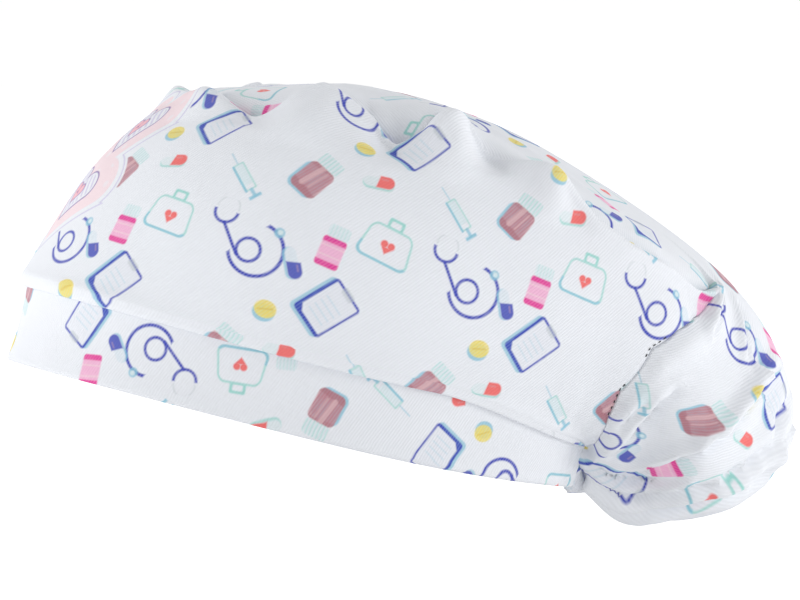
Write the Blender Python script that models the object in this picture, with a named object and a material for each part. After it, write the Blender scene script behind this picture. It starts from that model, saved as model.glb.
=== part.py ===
# Surgical scrub cap: a bouffant cap of white twill, in the shape that it has on a head.
# The front faces -Y, the wearer's left is +X and up is +Z. Lengths in metres, angles in degrees.
# The origin is the middle of the head opening, level with its rim at the ears.
import math

import bmesh
import bpy
import numpy as np

# Head opening, at the outside of the band
OPENING_WIDTH = 0.158
OPENING_LENGTH = 0.194
RIM_TILT = 13.1
EAR_DIP = 0.0035

# Cloth
CROWN_CLOTH = 0.0012
BAND_CLOTH = 0.0018
CASING_CLOTH = 0.0032
CLOTH_GAP = 0.0003
SEAM_GAP = 0.0005

# Band, from one side of the nape round the forehead to the other
BAND_HEIGHT = 0.0275
BAND_END_HEIGHT = 0.0160
BAND_END_ANGLE = 145.0
BAND_TAPER_ANGLE = 95.0
BAND_LEAN = 0.0050
BAND_FLARE = 0.0025
FLARE_SHARE = 0.6
NAPE_BLEND = (1, 6)

# Nape casing, ribbed by the elastic in it
CASING_HEIGHT = 0.0115
CASING_DROP = 0.0030
CASING_LEAN = 0.0015
CASING_RIB_DEPTH = 0.0008
CASING_RIB_ANGLE = 6.0

# Crown
CROWN_HEIGHT = 0.1115
CROWN_OVERLAP = 0.0035
AXIS_BACK = 0.015
HANG_LEAN = 0.065
HANG_ANGLES = (115, 150)
LIFT_COLUMNS = 0.6
LIFT_ANGLE = 4.0
FOLD_END_FADE = 0.25
FOLD_STEPS = 8
SHARP_ANGLE = 50.0

# Gathers that leave the nape casing, strongest at GATHER_COLUMN
GATHER_HEIGHT = 0.0024
GATHER_ANGLE = 10.6
GATHER_SPREAD = (22, 2)
GATHER_COLUMN = 1.5
GATHER_FADE = 1.1
GATHER_DRIFT = 1.3
GATHER_DRIFTS = 9

# Faces round and up each piece
SIDE_STEPS = 86
BACK_STEPS = 28
WALL_STEPS = 11
TOP_STEPS = 5
BAND_STEPS = 3
CASING_STEPS = 2

# Columns of the cap from its rim to the crown's pole. Those between the band's top and the
# pole have their places in SECTIONS, and each seam's place is given as a column too.
RIM, BAND_TOP, LOW, MIDDLE, HIGH, SHOULDER, SEAM, CREST, POLE = range(9)

# Sections of the crown, one row for each angle from the middle of the front, and one
# (reach, rise) for each column from LOW to CREST. Reach is a share of the rim's distance
# from the crown's axis, rise of the height from the band's top to the pole.
SECTIONS = {
    0: ((0.915, 0.13), (0.822, 0.39), (0.712, 0.64), (0.586, 0.84), (0.452, 0.950), (0.245, 0.992)),
    30: ((0.935, 0.13), (0.865, 0.38), (0.769, 0.62), (0.640, 0.82), (0.497, 0.937), (0.270, 0.990)),
    60: ((1.002, 0.13), (0.985, 0.36), (0.903, 0.62), (0.767, 0.81), (0.576, 0.922), (0.313, 0.987)),
    90: ((1.042, 0.15), (1.042, 0.37), (0.976, 0.60), (0.826, 0.79), (0.630, 0.897), (0.326, 0.976)),
    120: ((1.112, 0.15), (1.166, 0.35), (1.126, 0.56), (0.995, 0.73), (0.773, 0.857), (0.414, 0.955)),
    140: ((1.205, 0.08), (1.348, 0.21), (1.395, 0.40), (1.283, 0.58), (1.040, 0.710), (0.535, 0.908)),
    150: ((1.205, -0.08), (1.470, 0.01), (1.575, 0.21), (1.462, 0.45), (1.240, 0.622), (0.596, 0.895)),
    165: ((1.215, -0.11), (1.650, -0.055), (1.800, 0.16), (1.640, 0.41), (1.245, 0.645), (0.606, 0.892)),
    180: ((1.240, -0.11), (1.720, -0.045), (1.865, 0.17), (1.655, 0.42), (1.245, 0.652), (0.606, 0.892)),
}

# Seam between the crown's wall and its top, one (angle, column) for each bend.
TOP_SEAM = (
    (0, 6.10), (16, 6.08), (31, 5.92), (45, 5.76), (54, 6.05), (64, 6.45), (76, 6.20), (84, 6.05),
    (90, 5.45), (99, 5.60), (107, 6.00), (112, 6.15), (116, 5.55), (125, 5.50), (130, 4.95),
    (135, 4.85), (144, 5.25), (150, 5.45), (158, 5.52), (180, 5.52),
)

# Seam at the wall's back end, one (angle beyond BAND_END_ANGLE, column) for each bend.
BACK_SEAM = (
    (0, 0.0), (0, 1.0), (-2.5, 1.45), (-6.2, 2.0), (-7, 2.5), (-5, 3.45), (-1.5, 4.0), (3.5, 4.62),
    (8, 5.02), (13, 5.32), (13, 8.0),
)
BACK_SEAM_PULL = 40.0
NAPE_NOTCH_ANGLE = 0.4

# Folds of the crown, one row for each: its two ends as (angle, column), then its half width
# and height as shares of CROWN_HEIGHT. A ridge's height is positive. The first group is on
# the wearer's left, the second on the right.
FOLDS = (
    ((20, 6.1), (24, 5.0), 0.084, 0.017),
    ((45, 6.0), (43, 5.1), 0.084, -0.022),
    ((66, 6.5), (60, 4.7), 0.094, 0.030),
    ((90, 5.7), (86, 4.6), 0.074, -0.030),
    ((111, 6.2), (101, 4.4), 0.079, 0.030),
    ((118, 5.7), (114, 4.8), 0.064, -0.025),
    ((128, 5.4), (123, 4.2), 0.059, 0.025),
    ((155, 5.0), (149, 4.4), 0.050, 0.012),
    ((164, 4.2), (150, 3.3), 0.054, -0.020),
    ((147, 2.1), (143, 3.1), 0.050, -0.014),
    ((149, 2.0), (149, 3.1), 0.050, -0.020),
    ((151, 2.3), (158, 3.0), 0.050, -0.015),
    ((159, 3.2), (164, 3.6), 0.050, -0.012),
    ((-24, 6.1), (-29, 5.0), 0.084, 0.020),
    ((-45, 6.0), (-47, 5.2), 0.084, -0.022),
    ((-64, 6.5), (-70, 4.6), 0.089, 0.027),
    ((-90, 5.7), (-93, 4.8), 0.074, -0.027),
    ((-112, 6.2), (-106, 4.5), 0.079, 0.027),
    ((-129, 5.3), (-125, 4.1), 0.064, 0.022),
    ((-147, 1.8), (-145, 3.2), 0.050, -0.017),
    ((-152, 2.0), (-160, 3.2), 0.054, -0.020),
    ((-158, 4.4), (-149, 3.7), 0.059, -0.017),
    ((-175, 1.7), (-172, 3.0), 0.054, -0.015),
)


def spaced(low, high, steps):
    return np.linspace(low, high, steps + 1)


def smooth(low, high, value):
    """0 below low, 1 above high, and a smooth step between."""
    share = np.clip((value - low) / (high - low), 0, 1)
    return share * share * (3 - 2 * share)


def signed(angles):
    """Angles from -180 to 180, positive on the wearer's left."""
    return (angles + 180) % 360 - 180


def spline_weights(knots, places):
    """Weights of a natural cubic spline: one row for each place, one column for each knot."""
    knots, places = np.array(knots, float), np.array(places, float)
    step, count = np.diff(knots), len(knots)
    left_side, right_side = np.eye(count), np.zeros((count, count))
    for k in range(1, count - 1):
        left_side[k, k - 1 : k + 2] = step[k - 1], 2 * (step[k - 1] + step[k]), step[k]
        right_side[k, k - 1], right_side[k, k + 1] = 6 / step[k - 1], 6 / step[k]
        right_side[k, k] = -right_side[k, k - 1] - right_side[k, k + 1]
    bends = np.linalg.solve(left_side, right_side)
    k = np.clip(np.searchsorted(knots, places, side="right") - 1, 0, count - 2)
    before = (knots[k + 1] - places) / step[k]
    after = 1 - before
    weights = np.zeros((len(places), count))
    rows = np.arange(len(places))
    weights[rows, k] += before
    weights[rows, k + 1] += after
    weights += ((before**3 - before) * step[k] ** 2 / 6)[:, None] * bends[k]
    weights += ((after**3 - after) * step[k] ** 2 / 6)[:, None] * bends[k + 1]
    return weights


def section_shares(angles):
    """Reach and rise of each column from LOW to CREST at each angle, the same on both sides."""
    stations = np.array(list(SECTIONS))
    values = np.array(list(SECTIONS.values()))
    ring = np.concatenate([-stations[:0:-1], stations, 360 - stations[-2::-1]])
    rows = np.concatenate([values[:0:-1], values, values[-2::-1]])
    weights = spline_weights(ring, signed(angles))
    return np.tensordot(weights, rows, 1)


def column_weights(columns):
    """Shares of the nine columns at each place: straight up the band, a spline above it."""
    band = np.clip(columns, RIM, BAND_TOP)[:, None]
    straight = np.column_stack([1 - band, band, np.zeros((len(columns), POLE - BAND_TOP))])
    above = spline_weights(range(BAND_TOP, POLE + 1), np.maximum(columns, BAND_TOP))
    curved = np.column_stack([np.zeros(len(columns)), above])
    return np.where(columns[:, None] < BAND_TOP, straight, curved)


def rim_reach(turn):
    """How far the rim's ellipse is from the crown's upright axis."""
    wide, long = OPENING_WIDTH / 2, OPENING_LENGTH / 2
    a = (np.sin(turn) / wide) ** 2 + (np.cos(turn) / long) ** 2
    b = -2 * AXIS_BACK * np.cos(turn) / long**2
    c = (AXIS_BACK / long) ** 2 - 1
    return (-b + np.sqrt(b * b - 4 * a * c)) / (2 * a)


def outline(angles):
    """Reach and height of every column of the cap at each angle."""
    turn, away = np.radians(angles), np.abs(signed(angles))
    reach = rim_reach(turn)
    back = AXIS_BACK - reach * np.cos(turn)
    facing = np.maximum(np.cos(turn), 0) ** 2
    at_nape = smooth(BAND_END_ANGLE - NAPE_BLEND[0], BAND_END_ANGLE + NAPE_BLEND[1], away)
    taper = smooth(BAND_TAPER_ANGLE, BAND_END_ANGLE, away)
    rim_up = -back * math.tan(math.radians(RIM_TILT)) - EAR_DIP * np.sin(turn) ** 2
    rim_up -= CASING_DROP * at_nape
    band = BAND_HEIGHT + (BAND_END_HEIGHT - BAND_HEIGHT) * taper
    top_up = rim_up + band + (CASING_HEIGHT - band) * at_nape
    rim = reach - CASING_LEAN * at_nape
    top = reach + BAND_LEAN * (taper - facing)
    shares = section_shares(angles)
    reaches = shares[:, :, 0] * reach[:, None]
    rises = top_up[:, None] + shares[:, :, 1] * (CROWN_HEIGHT - top_up)[:, None]
    pole = np.zeros(len(angles))
    return (
        np.column_stack([rim, top, reaches, pole]),
        np.column_stack([rim_up, top_up, rises, pole + CROWN_HEIGHT]),
    )


def smooth_cap(angles, columns):
    """Points of the cap without folds, at angles and columns in two arrays of one shape."""
    shape = np.shape(angles)
    angles, columns = np.ravel(angles), np.ravel(columns)
    reach, height = outline(angles)
    weights = column_weights(columns)
    out, up = (weights * reach).sum(1), (weights * height).sum(1)
    turn = np.radians(angles)
    aside = out * np.sin(turn)
    hanging = smooth(*HANG_ANGLES, np.abs(signed(angles))) * smooth(BAND_TOP, LOW, columns)
    hanging *= 1 - smooth(MIDDLE, SHOULDER, columns)
    up = up - HANG_LEAN * aside * hanging
    return np.column_stack([aside, AXIS_BACK - out * np.cos(turn), up]).reshape(*shape, 3)


def normals(angles, columns):
    """Outward directions of the smooth cap."""
    step, turn = 0.02, 0.2
    inner = np.minimum(columns, POLE - 2 * step)
    across = smooth_cap(angles + turn, inner) - smooth_cap(angles - turn, inner)
    rising = smooth_cap(angles, inner + step) - smooth_cap(angles, inner - step)
    normal = np.cross(across, rising)
    normal /= np.linalg.norm(normal, axis=-1, keepdims=True)
    return np.where((columns > POLE - step)[..., None], (0, 0, 1), normal)


def outward(angles):
    """Level directions away from the crown's axis."""
    turn = np.radians(angles)
    return np.stack([np.sin(turn), -np.cos(turn), 0 * turn], -1)


def level_normals(angles):
    """Level directions square to the rim's ellipse."""
    x, y = outward(angles)[..., 0], outward(angles)[..., 1]
    reach = rim_reach(np.radians(angles))
    slopes = np.stack([x * reach / OPENING_WIDTH**2, (y * reach + AXIS_BACK) / OPENING_LENGTH**2, 0 * x], -1)
    return slopes / np.linalg.norm(slopes, axis=-1, keepdims=True)


def fold_heights(points):
    """How far the folds lift the cloth at each point of the smooth crown."""
    lift = np.zeros(points.shape[:-1])
    for start, end, width, height in FOLDS:
        along = spaced(0, 1, FOLD_STEPS)[:, None]
        crease = smooth_cap(*((1 - along) * start + along * end).T)
        nearest = np.full(points.shape[:-1], np.inf)
        place = np.zeros(points.shape[:-1])
        for step, (a, b) in enumerate(zip(crease, crease[1:])):
            share = np.clip((points - a) @ (b - a) / ((b - a) @ (b - a)), 0, 1)
            away = np.linalg.norm(points - a - share[..., None] * (b - a), axis=-1)
            place = np.where(away < nearest, (step + share) / (len(crease) - 1), place)
            nearest = np.minimum(away, nearest)
        fade = np.sin(np.pi * (FOLD_END_FADE + (1 - FOLD_END_FADE) * place))
        bump = np.exp(-((nearest / (width * CROWN_HEIGHT)) ** 2))
        lift += height * CROWN_HEIGHT * fade * bump
    return lift


def gathers(angles, columns):
    """Ripples that leave the nape casing and fade out over the hanging back."""
    side = signed(angles)
    before, beyond = GATHER_SPREAD
    at_back = smooth(BAND_END_ANGLE - before, BAND_END_ANGLE + beyond, np.abs(side))
    fade = np.exp(-(((columns - GATHER_COLUMN) / GATHER_FADE) ** 2))
    uneven = GATHER_DRIFT * np.sin(np.radians(side) * GATHER_DRIFTS)
    ripple = 1 + np.sin(math.tau * side / GATHER_ANGLE + uneven)
    return GATHER_HEIGHT / 2 * at_back * fade * ripple


def along_seams(grid_angles, grid_columns):
    """The grid of the crown, bent so that SEAM and BAND_END_ANGLE run along its two seams."""
    side = signed(grid_angles)
    away = np.abs(side)
    top_seam = np.interp(away, *np.array(TOP_SEAM).T)
    below = BAND_TOP + (grid_columns - BAND_TOP) * (top_seam - BAND_TOP) / (SEAM - BAND_TOP)
    above = POLE - (POLE - grid_columns) * (POLE - top_seam) / (POLE - SEAM)
    columns = np.where(grid_columns < SEAM, below, above)
    columns = np.where(grid_columns < BAND_TOP, grid_columns, columns)
    beyond, seam_columns = np.array(BACK_SEAM).T
    shift = np.interp(columns, seam_columns, beyond)
    notch = NAPE_NOTCH_ANGLE * (1 - smooth(BAND_TOP, LOW, columns))
    shift += np.where(away > BAND_END_ANGLE, notch, -notch)
    pulled = np.clip((away - BAND_END_ANGLE) / BACK_SEAM_PULL + 1, 0, 1)
    slack = np.clip((180 - away) / (180 - BAND_END_ANGLE), 0, 1)
    away = away + shift * np.minimum(pulled, slack)
    return np.where(side < 0, -away, away), columns


def crown_faces(angles, columns):
    """Outside and inside of the crown's cloth, over the band and from the casing's top."""
    angles, columns = along_seams(angles, columns)
    points = smooth_cap(angles, columns)
    above_band = smooth(BAND_TOP, BAND_TOP + LIFT_COLUMNS, columns)
    over_band = 1 - smooth(BAND_END_ANGLE, BAND_END_ANGLE + LIFT_ANGLE, np.abs(signed(angles)))
    lift = (CLOTH_GAP + CROWN_CLOTH) * np.maximum(above_band, over_band)
    lift = lift + (gathers(angles, columns) + fold_heights(points)) * above_band
    normal = normals(angles, columns)
    outside = points + normal * lift[..., None]
    return outside, outside - normal * CROWN_CLOTH


def band_faces(angles, columns):
    """Outside and inside of the band, whose lower edge curls out at the forehead."""
    facing = np.maximum(np.cos(np.radians(angles)), 0) ** 2
    curl = BAND_FLARE * facing * (1 - np.clip(columns / FLARE_SHARE, 0, 1)) ** 2
    outside = smooth_cap(angles, columns) + outward(angles) * curl[..., None]
    return outside, outside - level_normals(angles) * BAND_CLOTH


def casing_faces(angles, columns):
    """Outside and inside of the nape casing."""
    rib = CASING_RIB_DEPTH / 2 * (np.sin(math.tau * angles / CASING_RIB_ANGLE) - 1)
    outside = smooth_cap(angles, columns) + outward(angles) * rib[..., None]
    return outside, outside - level_normals(angles) * CASING_CLOTH


def cloth_piece(name, shape, angles, columns, material, left_out=None, to_pole=False):
    """A piece of cloth with the outer and inner faces that shape gives over a grid."""
    sides = shape(*np.meshgrid(angles, columns, indexing="ij"))
    used = np.ones((len(angles) - (not to_pole), len(columns) - 1), bool)
    if left_out:
        used[left_out] = False
    cloth = bmesh.new()
    corners = {}

    def corner(i, j):
        i = 0 if to_pole and j == len(columns) - 1 else i % len(angles)
        if (i, j) not in corners:
            corners[i, j] = tuple(cloth.verts.new(points[i, j]) for points in sides)
        return corners[i, j]

    for i, j in np.argwhere(used):
        ring = dict.fromkeys([corner(i, j), corner(i + 1, j), corner(i + 1, j + 1), corner(i, j + 1)])
        outer, inner = zip(*ring)
        cloth.faces.new(outer)
        cloth.faces.new(reversed(inner))
    beneath = dict(corners.values())
    for edge in [e for e in cloth.edges if e.is_boundary and e.verts[0] in beneath]:
        a, b = edge.verts
        cloth.faces.new((a, b, beneath[b], beneath[a]))
    bmesh.ops.recalc_face_normals(cloth, faces=cloth.faces)
    mesh = bpy.data.meshes.new(name)
    cloth.to_mesh(mesh)
    cloth.free()
    mesh.shade_smooth()
    mesh.set_sharp_from_angle(angle=math.radians(SHARP_ANGLE))
    mesh.materials.append(material)
    piece = bpy.data.objects.new(name, mesh)
    bpy.context.scene.collection.objects.link(piece)
    return piece


def cloth_material(name, colour, roughness):
    material = bpy.data.materials.new(name)
    material.use_nodes = True
    shader = material.node_tree.nodes["Principled BSDF"]
    shader.inputs["Base Color"].default_value = (*colour, 1)
    shader.inputs["Roughness"].default_value = roughness
    shader.inputs["Metallic"].default_value = 0
    return material


def seam_share():
    """Half of SEAM_GAP, in columns near the top seam."""
    return SEAM_GAP / 2 / (CROWN_HEIGHT / SEAM)


def side_angles(moved):
    """Angles round the band and wall, with the two ends moved back by a part of the gap."""
    angles = spaced(-BAND_END_ANGLE, BAND_END_ANGLE, SIDE_STEPS)
    gap = math.degrees(SEAM_GAP / OPENING_WIDTH)
    angles[[0, -1]] += gap * moved * np.array([-1, 1])
    return angles


def wall_columns():
    """Columns from the crown's lower edge, over the band, to the top seam."""
    over_band = [BAND_TOP - CROWN_OVERLAP / BAND_HEIGHT, BAND_TOP]
    return np.append(over_band, spaced(BAND_TOP + 0.2, SEAM - seam_share(), WALL_STEPS))


def build_band(material):
    columns = spaced(RIM, BAND_TOP, BAND_STEPS)
    cloth_piece("front_band", band_faces, side_angles(-1), columns, material)


def build_casing(material):
    start = side_angles(1)[-1]
    top = BAND_TOP - 1.5 * CLOTH_GAP / CASING_HEIGHT
    angles, columns = spaced(start, 360 - start, BACK_STEPS * 2), spaced(RIM, top, CASING_STEPS)
    cloth_piece("nape_casing", casing_faces, angles, columns, material)


def build_wall(material):
    cloth_piece("crown_wall", crown_faces, side_angles(-1), wall_columns(), material)


def build_top(material):
    sides = side_angles(1)
    backs = spaced(sides[-1], 360 - sides[-1], BACK_STEPS)[1:-1]
    beside_wall = wall_columns()[1:-1]
    above = spaced(SEAM + seam_share(), POLE, TOP_STEPS)
    angles, columns = np.append(sides, backs), np.append(beside_wall, above)
    left_out = np.s_[:SIDE_STEPS, : len(beside_wall)]
    cloth_piece("crown_top", crown_faces, angles, columns, material, left_out, True)


def main():
    for leftover in list(bpy.data.objects):
        bpy.data.objects.remove(leftover)
    twill = cloth_material("white_twill", (0.86, 0.88, 0.91), 0.85)
    build_band(twill)
    build_casing(twill)
    build_wall(twill)
    build_top(twill)


main()
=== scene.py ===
import math

import bmesh
import bpy
import numpy as np
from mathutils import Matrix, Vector, noise


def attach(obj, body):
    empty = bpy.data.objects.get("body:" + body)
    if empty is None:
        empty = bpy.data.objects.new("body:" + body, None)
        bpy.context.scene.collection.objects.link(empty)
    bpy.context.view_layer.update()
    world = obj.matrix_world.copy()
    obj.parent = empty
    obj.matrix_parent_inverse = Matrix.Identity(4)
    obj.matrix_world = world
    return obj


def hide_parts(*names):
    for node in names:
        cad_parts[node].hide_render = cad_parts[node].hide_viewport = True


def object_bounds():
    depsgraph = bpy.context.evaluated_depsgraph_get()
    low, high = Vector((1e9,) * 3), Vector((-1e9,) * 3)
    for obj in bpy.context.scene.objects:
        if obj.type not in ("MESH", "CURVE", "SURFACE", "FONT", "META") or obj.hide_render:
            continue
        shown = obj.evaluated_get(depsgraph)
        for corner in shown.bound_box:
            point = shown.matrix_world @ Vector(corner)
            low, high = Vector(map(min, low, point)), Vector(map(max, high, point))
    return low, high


# Surgical scrub cap, in the shape it has on a head. Metres and degrees.
# Front towards -Y, wearer's left towards +X, the middle of the head opening at the origin.
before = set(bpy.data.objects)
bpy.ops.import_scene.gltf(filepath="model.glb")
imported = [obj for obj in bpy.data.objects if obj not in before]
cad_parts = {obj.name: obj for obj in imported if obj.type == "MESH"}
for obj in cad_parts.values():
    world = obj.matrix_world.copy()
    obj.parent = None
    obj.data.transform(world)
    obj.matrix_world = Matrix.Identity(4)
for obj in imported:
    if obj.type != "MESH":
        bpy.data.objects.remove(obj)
cadBox = [list(corner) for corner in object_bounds()]
bpy.ops.object.select_all(action="DESELECT")
bpy.context.scene.view_settings.view_transform = "Standard"
print("frame loaded")

# The cap's own form: every point on it has an angle round the head, 0 at the middle of the
# front, and a column, from 0 at the rim over 1 at the band's top to 8 at the pole.
capForm = {
    "openingWidth": 0.158,
    "openingLength": 0.194,
    "rimTilt": 13.1,
    "earDip": 0.0035,
    "axisBack": 0.015,
    "bandHeight": 0.0275,
    "bandEndHeight": 0.0160,
    "bandEnd": 145.0,
    "bandTaperFrom": 95.0,
    "bandLean": 0.0050,
    "bandFlare": 0.0025,
    "flareShare": 0.6,
    "casingHeight": 0.0115,
    "casingDrop": 0.0030,
    "casingLean": 0.0015,
    "crownHeight": 0.1115,
    "crownOverlap": 0.0035,
    "hangLean": 0.065,
    "hangFrom": (115, 150),
    "clothLift": 0.0015,
}
bandTop, seamColumn, poleColumn = 1, 6, 8
# (reach, rise) for columns 2 to 7: reach as a share of the rim's, rise of the crown's height
sections = {
    0: ((0.915, 0.13), (0.822, 0.39), (0.712, 0.64), (0.586, 0.84), (0.452, 0.950), (0.245, 0.992)),
    30: ((0.935, 0.13), (0.865, 0.38), (0.769, 0.62), (0.640, 0.82), (0.497, 0.937), (0.270, 0.990)),
    60: ((1.002, 0.13), (0.985, 0.36), (0.903, 0.62), (0.767, 0.81), (0.576, 0.922), (0.313, 0.987)),
    90: ((1.042, 0.15), (1.042, 0.37), (0.976, 0.60), (0.826, 0.79), (0.630, 0.897), (0.326, 0.976)),
    120: ((1.112, 0.15), (1.166, 0.35), (1.126, 0.56), (0.995, 0.73), (0.773, 0.857), (0.414, 0.955)),
    140: ((1.205, 0.08), (1.348, 0.21), (1.395, 0.40), (1.283, 0.58), (1.040, 0.710), (0.535, 0.908)),
    150: ((1.205, -0.08), (1.470, 0.01), (1.575, 0.21), (1.462, 0.45), (1.240, 0.622), (0.596, 0.895)),
    165: ((1.215, -0.11), (1.650, -0.055), (1.800, 0.16), (1.640, 0.41), (1.245, 0.645), (0.606, 0.892)),
    180: ((1.240, -0.11), (1.720, -0.045), (1.865, 0.17), (1.655, 0.42), (1.245, 0.652), (0.606, 0.892)),
}
# (angle, column) of the seam round the top panel, the same on both sides
topSeam = (
    (0, 6.10), (16, 6.08), (31, 5.92), (45, 5.76), (54, 6.05), (64, 6.45), (76, 6.20), (84, 6.05),
    (90, 5.45), (99, 5.60), (107, 6.00), (112, 6.15), (116, 5.55), (125, 5.50), (130, 4.95),
    (135, 4.85), (144, 5.25), (150, 5.45), (158, 5.52), (180, 5.52),
)
# (angle beyond the band's end, column) of the wall panel's back edge
backSeam = (
    (0, 0.0), (0, 1.0), (-2.5, 1.45), (-6.2, 2.0), (-7, 2.5), (-5, 3.45), (-1.5, 4.0), (3.5, 4.62),
    (8, 5.02), (13, 5.32), (13, 8.0),
)


def smooth(low, high, value):
    share = np.clip((value - low) / (high - low), 0, 1)
    return share * share * (3 - 2 * share)


def signed(angles):
    return (angles + 180) % 360 - 180  # positive on the wearer's left


def splineWeights(knots, places):
    # weights of a natural cubic spline: a row for each place, a column for each knot
    knots, places = np.array(knots, float), np.array(places, float)
    step, count = np.diff(knots), len(knots)
    bendSide, valueSide = np.eye(count), np.zeros((count, count))
    for k in range(1, count - 1):
        bendSide[k, k - 1 : k + 2] = step[k - 1], 2 * (step[k - 1] + step[k]), step[k]
        valueSide[k, k - 1], valueSide[k, k + 1] = 6 / step[k - 1], 6 / step[k]
        valueSide[k, k] = -valueSide[k, k - 1] - valueSide[k, k + 1]
    bends = np.linalg.solve(bendSide, valueSide)
    k = np.clip(np.searchsorted(knots, places, side="right") - 1, 0, count - 2)
    before = (knots[k + 1] - places) / step[k]
    after = 1 - before
    weights = np.zeros((len(places), count))
    rows = np.arange(len(places))
    weights[rows, k] += before
    weights[rows, k + 1] += after
    weights += ((before**3 - before) * step[k] ** 2 / 6)[:, None] * bends[k]
    weights += ((after**3 - after) * step[k] ** 2 / 6)[:, None] * bends[k + 1]
    return weights


def sectionShares(angles):
    stations, values = np.array(list(sections)), np.array(list(sections.values()))
    ring = np.concatenate([-stations[:0:-1], stations, 360 - stations[-2::-1]])
    rows = np.concatenate([values[:0:-1], values, values[-2::-1]])
    return np.tensordot(splineWeights(ring, signed(angles)), rows, 1)


def columnWeights(columns):
    band = np.clip(columns, 0, bandTop)[:, None]
    straight = np.column_stack([1 - band, band, np.zeros((len(columns), poleColumn - bandTop))])
    above = splineWeights(range(bandTop, poleColumn + 1), np.maximum(columns, bandTop))
    curved = np.column_stack([np.zeros(len(columns)), above])
    return np.where(columns[:, None] < bandTop, straight, curved)


def rimReach(turn):
    wide, long = capForm["openingWidth"] / 2, capForm["openingLength"] / 2
    back = capForm["axisBack"]
    a = (np.sin(turn) / wide) ** 2 + (np.cos(turn) / long) ** 2
    b = -2 * back * np.cos(turn) / long**2
    c = (back / long) ** 2 - 1
    return (-b + np.sqrt(b * b - 4 * a * c)) / (2 * a)


def outline(angles):
    # reach and height of every column at each angle
    f = capForm
    turn, away = np.radians(angles), np.abs(signed(angles))
    reach = rimReach(turn)
    behind = f["axisBack"] - reach * np.cos(turn)
    facing = np.maximum(np.cos(turn), 0) ** 2
    atNape = smooth(f["bandEnd"] - 1, f["bandEnd"] + 6, away)
    taper = smooth(f["bandTaperFrom"], f["bandEnd"], away)
    rimUp = -behind * math.tan(math.radians(f["rimTilt"])) - f["earDip"] * np.sin(turn) ** 2
    rimUp -= f["casingDrop"] * atNape
    band = f["bandHeight"] + (f["bandEndHeight"] - f["bandHeight"]) * taper
    topUp = rimUp + band + (f["casingHeight"] - band) * atNape
    rim = reach - f["casingLean"] * atNape
    top = reach + f["bandLean"] * (taper - facing)
    shares = sectionShares(angles)
    reaches = shares[:, :, 0] * reach[:, None]
    rises = topUp[:, None] + shares[:, :, 1] * (f["crownHeight"] - topUp)[:, None]
    pole = np.zeros(len(angles))
    return (
        np.column_stack([rim, top, reaches, pole]),
        np.column_stack([rimUp, topUp, rises, pole + f["crownHeight"]]),
    )


def smoothCap(angles, columns):
    # points of the cap without folds
    shape = np.shape(angles)
    angles, columns = np.ravel(angles), np.ravel(columns)
    reach, height = outline(angles)
    weights = columnWeights(columns)
    out, up = (weights * reach).sum(1), (weights * height).sum(1)
    turn = np.radians(angles)
    aside = out * np.sin(turn)
    hanging = smooth(*capForm["hangFrom"], np.abs(signed(angles))) * smooth(1, 2, columns)
    hanging *= 1 - smooth(3, 5, columns)
    up = up - capForm["hangLean"] * aside * hanging
    return np.column_stack([aside, capForm["axisBack"] - out * np.cos(turn), up]).reshape(*shape, 3)


def normals(angles, columns):
    step, turn = 0.02, 0.2
    inner = np.minimum(columns, poleColumn - 2 * step)
    across = smoothCap(angles + turn, inner) - smoothCap(angles - turn, inner)
    rising = smoothCap(angles, inner + step) - smoothCap(angles, inner - step)
    normal = np.cross(across, rising)
    normal /= np.linalg.norm(normal, axis=-1, keepdims=True)
    return np.where((columns > poleColumn - step)[..., None], (0, 0, 1), normal)


def outward(angles):
    turn = np.radians(angles)
    return np.stack([np.sin(turn), -np.cos(turn), 0 * turn], -1)


def levelNormals(angles):
    x, y = outward(angles)[..., 0], outward(angles)[..., 1]
    reach = rimReach(np.radians(angles))
    wide, long, back = capForm["openingWidth"], capForm["openingLength"], capForm["axisBack"]
    slopes = np.stack([x * reach / wide**2, (y * reach + back) / long**2, 0 * x], -1)
    return slopes / np.linalg.norm(slopes, axis=-1, keepdims=True)


def alongSeams(gridAngles, gridColumns):
    # bends the grid so that its column 6 and the band's end run along the two seams
    side = signed(gridAngles)
    away = np.abs(side)
    seam = np.interp(away, *np.array(topSeam).T)
    below = bandTop + (gridColumns - bandTop) * (seam - bandTop) / (seamColumn - bandTop)
    above = poleColumn - (poleColumn - gridColumns) * (poleColumn - seam) / (poleColumn - seamColumn)
    columns = np.where(gridColumns < seamColumn, below, above)
    columns = np.where(gridColumns < bandTop, gridColumns, columns)
    beyond, seamColumns = np.array(backSeam).T
    shift = np.interp(columns, seamColumns, beyond)
    pulled = np.clip((away - capForm["bandEnd"]) / 40 + 1, 0, 1)
    slack = np.clip((180 - away) / (180 - capForm["bandEnd"]), 0, 1)
    away = away + shift * np.minimum(pulled, slack)
    return np.where(side < 0, -away, away), columns


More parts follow.
